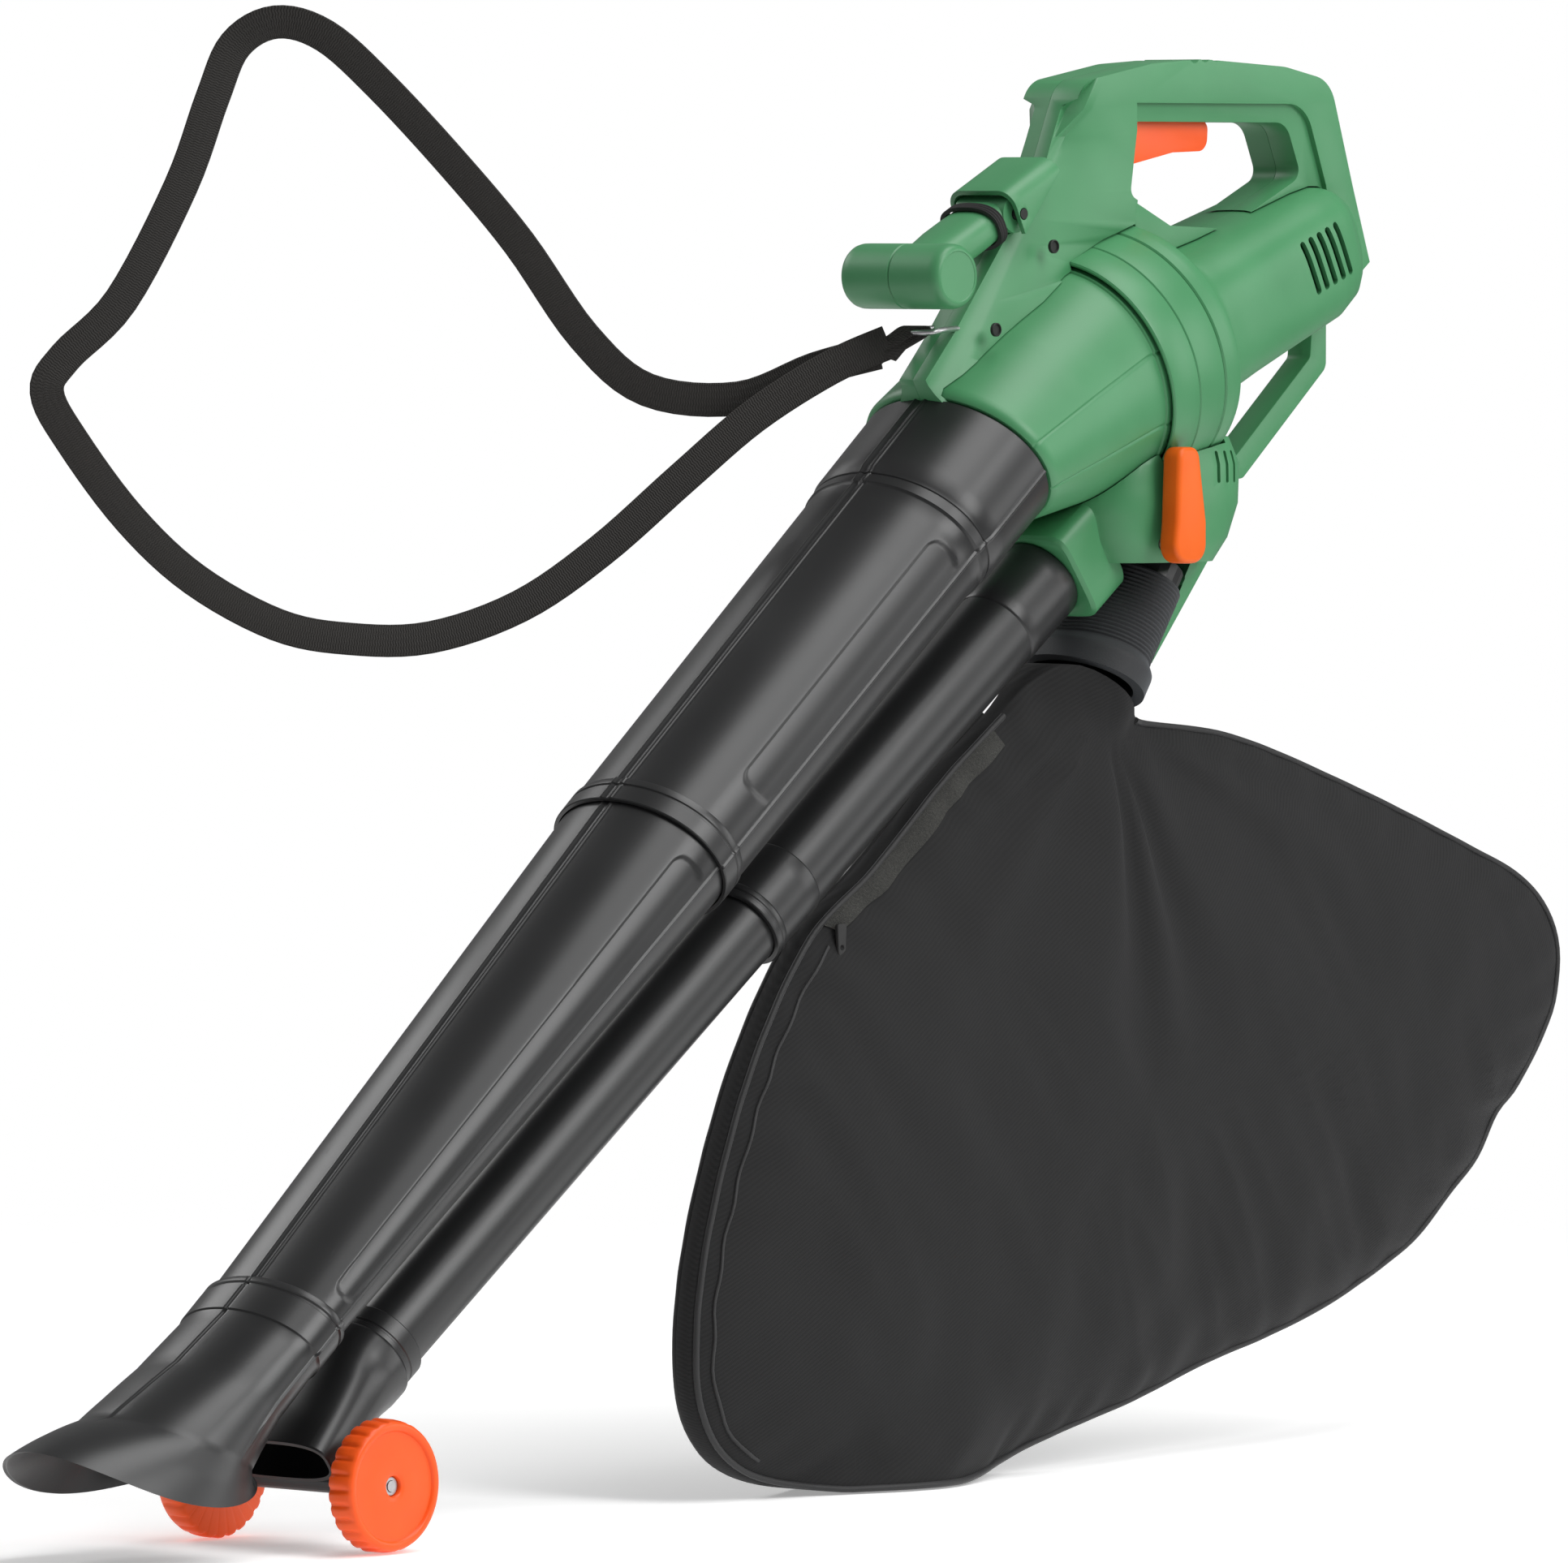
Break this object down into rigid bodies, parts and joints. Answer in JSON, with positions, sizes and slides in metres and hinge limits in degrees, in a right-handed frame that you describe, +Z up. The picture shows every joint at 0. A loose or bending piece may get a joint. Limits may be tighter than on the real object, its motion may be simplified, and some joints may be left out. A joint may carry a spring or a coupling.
{
  "type": "leaf vacuum mulcher",
  "caption": "Wheeled electric leaf vacuum and blower with a suction tube, a blow tube, a shredding fan, a rear handle with trigger, a front grip, a collection bag and a shoulder strap.",
  "frame": {"origin": "on the ground, under the middle of the machine's length and width", "axes": "+X towards the rear of the motor and the bag, away from the suction mouth; +Y to the machine's right; +Z up"},
  "size_m": [1.3066, 0.4668, 0.8531],
  "materials": {
    "green_plastic": "satin moulded plastic, mid green",
    "black_plastic": "satin black moulded plastic",
    "orange_plastic": "moulded orange plastic",
    "black_rubber": "soft black rubber",
    "steel": "plain steel",
    "fan_alloy": "cast light alloy",
    "copper": "copper windings and contacts",
    "bag_fabric": "black woven polyester",
    "strap_webbing": "black polyester webbing"
  },
  "bodies": {
    "frame": {"intake_cone": "green_plastic", "fan_case_front": "green_plastic", "fan_case_rear": "green_plastic", "motor_housing_left": "green_plastic", "motor_housing_right": "green_plastic", "motor_rear_cover": "green_plastic", "handle_left": "green_plastic", "handle_right": "green_plastic", "outlet_housing": "green_plastic", "rear_bracket": "green_plastic", "grip_socket": "green_plastic", "aux_pin": "steel", "case_screw_upper": "steel", "case_screw_lower": "steel", "cable_gland": "black_rubber", "strap_eyelet": "steel", "shoulder_strap": "strap_webbing", "upper_suction_tube": "black_plastic", "lower_suction_tube": "black_plastic", "suction_nozzle": "black_plastic", "upper_blow_tube": "black_plastic", "lower_blow_tube": "black_plastic", "blow_nozzle": "black_plastic", "axle_bracket": "black_plastic", "axle": "steel", "left_axle_clip": "steel", "right_axle_clip": "steel", "trigger_pin": "steel", "trigger_spring": "steel", "trigger_switch": "black_plastic", "motor_flange": "black_plastic", "front_bearing": "steel", "rear_bearing": "steel", "stator": "steel", "left_brush_holder": "copper", "right_brush_holder": "copper", "bag_spigot": "black_plastic", "bag_cuff": "bag_fabric", "collection_bag": "bag_fabric"},
    "left_wheel": {"left_wheel": "orange_plastic"},
    "right_wheel": {"right_wheel": "orange_plastic"},
    "trigger": {"trigger": "orange_plastic"},
    "mode_lever": {"mode_lever": "orange_plastic", "lever_shaft": "steel", "diverter_flap": "black_plastic"},
    "front_grip": {"front_grip_arm": "green_plastic", "front_grip_left": "green_plastic", "front_grip_right": "green_plastic", "arm_seal": "black_rubber"},
    "rotor": {"impeller": "fan_alloy", "impeller_nut": "steel", "motor_shaft": "steel", "armature": "copper", "commutator": "copper", "cooling_fan": "black_plastic"}
  },
  "joints": [
    {"name": "left_wheel_spin", "type": "hinge", "parent": "frame", "child": "left_wheel", "pos_m": [-0.4457, -0.0665, 0.037], "axis": [0, 1, 0], "continuous": true},
    {"name": "right_wheel_spin", "type": "hinge", "parent": "frame", "child": "right_wheel", "pos_m": [-0.4457, 0.0665, 0.037], "axis": [0, 1, 0], "continuous": true},
    {"name": "trigger_pull", "type": "hinge", "parent": "frame", "child": "trigger", "pos_m": [0.2473, 0, 0.792], "axis": [0, 1, 0], "range_deg": [-8, 0], "stiffness_Nm_per_rad": 0.5, "springref_deg": 2.86},
    {"name": "mode_lever_turn", "type": "hinge", "parent": "frame", "child": "mode_lever", "pos_m": [0.2293, 0, 0.543], "axis": [0, 1, 0], "range_deg": [0, 55]},
    {"name": "front_grip_tilt", "type": "hinge", "parent": "frame", "child": "front_grip", "pos_m": [0.1363, 0, 0.735], "axis": [0, 1, 0], "range_deg": [-6.5, 0]},
    {"name": "rotor_spin", "type": "hinge", "parent": "frame", "child": "rotor", "pos_m": [0.2113, 0, 0.638], "axis": [0.9455, 0, 0.3256], "continuous": true}
  ]
}
